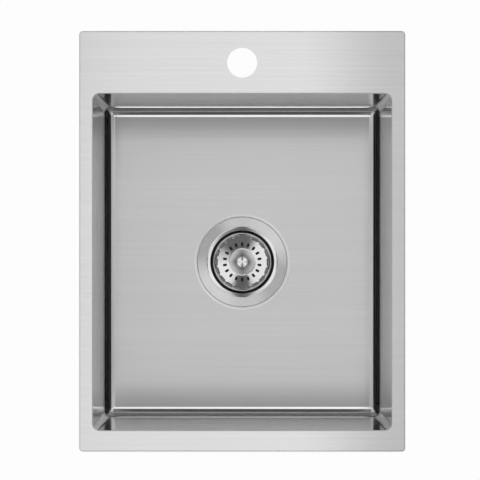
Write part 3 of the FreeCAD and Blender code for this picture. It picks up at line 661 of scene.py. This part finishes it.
flangeSteel = turnedSteel("turnedFlange", dict(
    turnedLook, dark=grey(0.58), light=grey(0.78), rough=0.27, brushing=1.0, turn=0.25,
    rings=2500.0, scratch=0.000003))
beadSteel = turnedSteel("polishedBead", dict(
    turnedLook, dark=grey(0.78), light=grey(0.92), rough=0.16, rings=2500.0))
cupSteel = turnedSteel("turnedCup", dict(
    turnedLook, dark=grey(0.40), light=grey(0.58), rough=0.3, brushing=0.4, turn=0.25,
    rings=1500.0, scratch=0.000004))
basketFloorSteel = turnedSteel("polishedBasketFloor", dict(
    turnedLook, dark=grey(0.74), light=grey(0.88), rough=0.12))
basketWallSteel = turnedSteel("polishedBasketWall", dict(
    turnedLook, dark=grey(0.52), light=grey(0.68), rough=0.10))
# painted shade: the dome is made darker round the knob, where the knob shades it
domeSteel = turnedSteel("brushedDome", dict(
    turnedLook, dark=grey(0.72), light=grey(0.90), rough=0.34, brushing=0.3,
    rings=2200.0, scratch=0.000002, hub=(0.0075, 0.0145), paintedHubShade=0.55))
knobSteel = turnedSteel("turnedKnob", dict(
    turnedLook, dark=grey(0.84), light=grey(0.97), rough=0.16, rings=3000.0))

# waste
wasteLook = {"bead": 0.0454, "throat": 0.0401, "neck": -0.2005, "facing": 0.05}


def wasteFinish(face):
    x, y, z = face.center
    if face.normal.z <= wasteLook["facing"] or z <= wasteLook["neck"]:
        return cupSteel
    onBead = wasteLook["throat"] < math.hypot(x, y) < wasteLook["bead"]
    return beadSteel if onBead else flangeSteel


waste = smoothCopy("strainer_body", "wasteBody")
dress(waste, (flangeSteel, beadSteel, cupSteel), wasteFinish)
settle(waste, "sink", "waste_steel", "strainer_body")

cupLook = {"radius": 0.0425, "pitch": 0.0025, "depth": 0.0009, "low": -0.2368, "high": -0.2065, "steps": 120}
cupThread = threadSleeve("cupThread", cupLook)
cupThread.data.materials.append(cupSteel)
settle(cupThread, "sink", "waste_steel")

# basket: its dome rises gently and steepens towards the knob
basketLook = {
    "floor": -0.2220, "wall": 0.0345, "facing": 0.5,  # the floor lies below and inside these
    "dome": 0.0168, "bore": 0.0034, "skin": 0.3,      # the dome's edge and hole, and its upper and lower skin
    "foot": -0.2279, "rise": 0.0051, "swell": 0.0023, "domeHeight": 0.0049, "sheet": 0.0008,
}


def basketFinish(face):
    x, y, z = face.center
    radius = math.hypot(x, y)
    if radius < basketLook["dome"]:
        return domeSteel
    low = radius < basketLook["wall"] and z < basketLook["floor"]
    return basketFloorSteel if low and face.normal.z > basketLook["facing"] else basketWallSteel


basket = smoothCopy("basket", "basketShell")
dress(basket, (basketFloorSteel, domeSteel, basketWallSteel), basketFinish)
for point in basket.data.vertices:
    radius = math.hypot(point.co.x, point.co.y)
    if basketLook["bore"] < radius < basketLook["dome"] and abs(point.normal.z) > basketLook["skin"]:
        share = 1 - radius / basketLook["dome"]
        rise = min(basketLook["rise"] * share + basketLook["swell"] * share ** 2, basketLook["domeHeight"])
        point.co.z = basketLook["foot"] + rise - (0 if point.normal.z > 0 else basketLook["sheet"])
settle(basket, "basket", "basket_steel", "basket")

# pull knob: waisted stem under a low cone
knobLook = {
    "foot": 0.0048, "footHeight": 0.0005,
    "neck": 0.0042, "neckRise": 0.0035, "flare": 0.0030, "waist": (210, 150),  # the neck's arc, in degrees
    "shoulder": (1.25, 1.35), "shoulderEdge": 0.0002,  # heights above the neck, in flares
    "edge": 0.0006, "cone": 20.0, "tip": 0.004, "tipEnd": 88,
    "waistSteps": 8, "edgeSteps": 5, "sides": 64,
}


def arcRows(centre, height, radius, start, end, steps):
    turns = [math.radians(start + (end - start) * step / steps) for step in range(steps + 1)]
    return [(centre + radius * math.cos(turn), height + radius * math.sin(turn)) for turn in turns]


low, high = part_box("knob")
knobRadius = (high[0] - low[0]) / 2
coneAngle = math.radians(knobLook["cone"])
coneEdge = 90 - knobLook["cone"]
flare, edge, tip = knobLook["flare"], knobLook["edge"], knobLook["tip"]
tipLevel = high[2] - tip
edgeCentre = knobRadius - edge
coneReach = edgeCentre + (edge - tip) * math.sin(coneAngle)
edgeLevel = tipLevel + (tip - edge) * math.cos(coneAngle) - coneReach * math.tan(coneAngle)
neckLevel = low[2] + knobLook["neckRise"]
shoulderLow, shoulderHigh = [neckLevel + flare * share for share in knobLook["shoulder"]]
knobRows = [(knobLook["foot"], low[2]), (knobLook["foot"], low[2] + knobLook["footHeight"])]
knobRows += arcRows(knobLook["neck"] + flare, neckLevel + flare / 2, flare, *knobLook["waist"],
                    knobLook["waistSteps"])
knobRows += [(knobRadius - knobLook["shoulderEdge"], shoulderLow), (knobRadius, shoulderHigh)]
knobRows += arcRows(edgeCentre, edgeLevel, edge, 0, coneEdge, knobLook["edgeSteps"])
knobRows += arcRows(0, tipLevel, tip, coneEdge, knobLook["tipEnd"], knobLook["edgeSteps"])
knob = evenNormals(ringPiece("pullKnob", knobRows, knobLook["sides"]))
knob.data.materials.append(knobSteel)
settle(knob, "plunger", "bright_steel", "knob")
paintNode(knobSteel, "basket_post", "stopper_washer", "detent_ring")
print("waste ready")


# rubber, foam and moulded pieces
def softFinish(name, look):
    skin = newFinish(name)
    place = skin.place()
    grain = skin.noise("grain", place, look["grain"])
    patch = skin.noise("band", place, look["patch"])
    pores = skin.node("ShaderNodeTexVoronoi", {}, {"Vector": place, "Scale": look["pores"]}, "Distance")
    colour = skin.mixColour((grain + patch) / 2, look["dark"], look["light"])
    rough = swing(patch) * look["roughSpread"] + look["rough"]
    normal = skin.bump(grain + pores * look["poreShare"], look["depth"])
    return skin.cover({"Base Color": colour, "Roughness": rough, "Normal": normal,
                       "Specular IOR Level": look["shine"]})


padRubber = softFinish("padRubber", {
    "dark": grey(0.030), "light": grey(0.075), "grain": 700.0, "patch": 25.0, "pores": 1500.0,
    "poreShare": 0.4, "depth": 0.00008, "rough": 0.78, "roughSpread": 0.2, "shine": 0.35})
sealFoam = softFinish("sealFoam", {
    "dark": grey(0.020), "light": grey(0.055), "grain": 900.0, "patch": 60.0, "pores": 1400.0,
    "poreShare": 1.5, "depth": 0.00025, "rough": 0.92, "roughSpread": 0.1, "shine": 0.2})
blackRubber = softFinish("blackRubber", {
    "dark": grey(0.018), "light": grey(0.040), "grain": 400.0, "patch": 30.0, "pores": 300.0,
    "poreShare": 0.1, "depth": 0.00002, "rough": 0.50, "roughSpread": 0.2, "shine": 0.5})
whitePlastic = softFinish("nutPlastic", {
    "dark": grey(0.72, 0.02), "light": grey(0.82, 0.015), "grain": 260.0, "patch": 20.0, "pores": 500.0,
    "poreShare": 0.1, "depth": 0.00003, "rough": 0.40, "roughSpread": 0.15, "shine": 0.5})
slipPlastic = softFinish("slipPlastic", {
    "dark": (0.62, 0.57, 0.46, 1), "light": (0.78, 0.74, 0.64, 1), "grain": 500.0, "patch": 35.0,
    "pores": 600.0, "poreShare": 0.2, "depth": 0.00003, "rough": 0.48, "roughSpread": 0.15, "shine": 0.45})

# sound pads: a plate with rounded edges and raised squares
padLook = {
    "thick": 0.0025, "edge": 0.0010, "edgeSteps": 4, "corner": 0.012,
    "cell": 0.0125, "cellFoot": 0.0088, "cellTop": 0.0074, "raise": 0.0005, "cellSunk": 0.0002,
    "margin": 0.006,
}


def soundPad(node, name, turn):
    low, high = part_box(node)
    centre = (Vector(low) + Vector(high)) / 2
    sizes = Vector(high) - Vector(low)
    across, upward, outward = turn
    halfWidth = abs(sizes.dot(across)) / 2
    halfHeight = abs(sizes.dot(upward)) / 2
    base = centre - outward * abs(sizes.dot(outward)) / 2
    thick, edge = padLook["thick"], padLook["edge"]

    def spot(u, v, lift):
        return base + across * u + upward * v + outward * lift

    levels = [(0.0, 0.0), (0.0, thick - edge)]
    for step in range(1, padLook["edgeSteps"] + 1):
        angle = math.radians(90 * step / padLook["edgeSteps"])
        levels.append((edge * (1 - math.cos(angle)), thick - edge * (1 - math.sin(angle))))
    verts = []
    for inset, lift in levels:
        for u, v in roundedOutline(halfWidth, -halfHeight, halfHeight, padLook["corner"], inset):
            verts.append(spot(u, v, lift))
    faces = rowFaces(len(levels), len(verts) // len(levels))

    columns = int((halfWidth - padLook["margin"]) * 2 / padLook["cell"])
    lines = int((halfHeight - padLook["margin"]) * 2 / padLook["cell"])
    foot = (padLook["cellFoot"] / 2, thick - padLook["cellSunk"])
    top = (padLook["cellTop"] / 2, thick + padLook["raise"])
    rims = (foot, top)
    signs = ((-1, -1), (1, -1), (1, 1), (-1, 1))
    for column in range(columns):
        for line in range(lines):
            u = (column - (columns - 1) / 2) * padLook["cell"]
            v = (line - (lines - 1) / 2) * padLook["cell"]
            start = len(verts)
            for half, lift in rims:
                for signU, signV in signs:
                    verts.append(spot(u + half * signU, v + half * signV, lift))
            for face in rowFaces(len(rims), len(signs)):
                faces.append(tuple(start + corner for corner in face))
    piece = evenNormals(newPiece(name, verts, faces))
    piece.data.materials.append(padRubber)
    return settle(piece, "sink", "pad_rubber", node)


axisX, axisY, axisZ = Vector((1, 0, 0)), Vector((0, 1, 0)), Vector((0, 0, 1))
soundPad("pad_left", "soundPadLeft", (-axisY, axisZ, -axisX))
soundPad("pad_right", "soundPadRight", (axisY, axisZ, axisX))
soundPad("pad_front", "soundPadFront", (axisX, axisZ, -axisY))
soundPad("pad_back", "soundPadBack", (-axisX, axisZ, axisY))
soundPad("pad_base_front", "soundPadBaseFront", (axisX, -axisY, -axisZ))
soundPad("pad_base_back", "soundPadBaseBack", (axisX, -axisY, -axisZ))

# foam seal: a strip with rounded edges all the way round under the rim
sealLook = {"corner": 0.0035, "width": 0.008, "edge": 0.0006, "edgeSteps": 3}
low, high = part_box("rim_seal")
edge = sealLook["edge"]
near, far = edge, sealLook["width"] - edge
bottom, top = low[2] + edge, high[2] - edge
sealRows = []
for inset, level, start in ((near, bottom, 180), (far, bottom, 270), (far, top, 0), (near, top, 90)):
    sealRows += arcRows(inset, level, edge, start, start + 90, sealLook["edgeSteps"])
verts = []
for inset, level in sealRows:
    for x, y in roundedOutline(high[0], low[1], high[1], sealLook["corner"], inset):
        verts.append((x, y, level))
sealFaces = rowFaces(len(sealRows), len(verts) // len(sealRows), loop=True, flip=True)
seal = evenNormals(newPiece("rimSeal", verts, sealFaces))
seal.data.materials.append(sealFoam)
settle(seal, "sink", "seal_foam", "rim_seal")
paintNode(blackRubber, "flange_gasket", "under_gasket", "tail_gasket", "stopper")
paintNode(whitePlastic, "back_nut", "tail_nut")
paintNode(slipPlastic, "friction_ring")
print("rubber pieces ready")

# outlet tail: plated, with its colour made darker as painted shade, for where it shows deep inside the cup
tailSteel = turnedSteel("platedTailPaintedShade", dict(
    turnedLook, dark=(0.31, 0.30, 0.285, 1), light=(0.45, 0.435, 0.415, 1), rough=0.40,
    brushing=0.2, turn=0.25, rings=900.0, scratch=0.000004))
paintNode(tailSteel, "outlet_tail")
tailLook = {"radius": 0.0298, "pitch": 0.0023, "depth": 0.0008, "low": -0.2732, "high": -0.2530, "steps": 96}
tailThread = threadSleeve("tailThread", tailLook)
tailThread.data.materials.append(tailSteel)
settle(tailThread, "sink", "tail_brass")

# clamp screws: hexagon head, collar and a running thread
screwLook = {
    "flats": 0.010, "headHeight": 0.004, "chamfer": 0.0006, "chamferReach": 1.4,
    "collar": 0.005, "collarThick": 0.0015, "collarEdge": 0.0003, "collarDrop": 0.0018,  # drop below the nut
    "root": 0.00252, "depth": 0.00046, "pitch": 0.001, "perTurn": 6,
    "runIn": 0.0001, "tip": 0.0006,  # where the thread starts above the collar, and the tip's taper
    "sides": 24, "sharp": 40,
}


def hexagon(flats, most):
    sixth = math.pi / 3

    def radius(angle):
        flat = (angle + sixth / 2) % sixth - sixth / 2
        return min(flats / 2 / math.cos(flat), most)
    return radius


def clampScrew(station):
    node = "clip_screw_" + station
    low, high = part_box(node)
    axis = ((low[0] + high[0]) / 2, (low[1] + high[1]) / 2)
    flats, chamfer = screwLook["flats"], screwLook["chamfer"]
    corner = flats / math.sqrt(3)
    cut = hexagon(flats, corner - chamfer * screwLook["chamferReach"])
    whole = hexagon(flats, corner)
    headTop = low[2] + screwLook["headHeight"]
    collar, edge = screwLook["collar"], screwLook["collarEdge"]
    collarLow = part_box("clip_nut_" + station)[0][2] - screwLook["collarDrop"]
    collarTop = collarLow + screwLook["collarThick"]
    root, tip = screwLook["root"], screwLook["tip"]
    shank = root + screwLook["depth"]
    rows = [(cut, low[2]), (whole, low[2] + chamfer), (whole, headTop - chamfer), (cut, headTop),
            (shank, headTop), (shank, collarLow),
            (collar - edge, collarLow), (collar, collarLow + edge),
            (collar, collarTop - edge), (collar - edge, collarTop), (root, collarTop)]
    rows += threadRows(root, screwLook, collarTop + screwLook["runIn"], high[2] - tip, screwLook["perTurn"])
    rows.append((root - tip, high[2]))
    screw = ringPiece("clampScrew_" + station, rows, screwLook["sides"], axis)
    evenNormals(screw, screwLook["sharp"])
    screw.data.materials.append(zincSteel)
    return settle(screw, "screw_" + station, "clip_steel", node)


for station in ("left_front", "left_back", "right_front", "right_back"):
    clampScrew(station)
    paintNode(zincSteel, "clip_nut_" + station, "clip_claw_" + station)
paintNode(zincSteel, "clip_bridges", "clip_hangers")
print("clips ready")
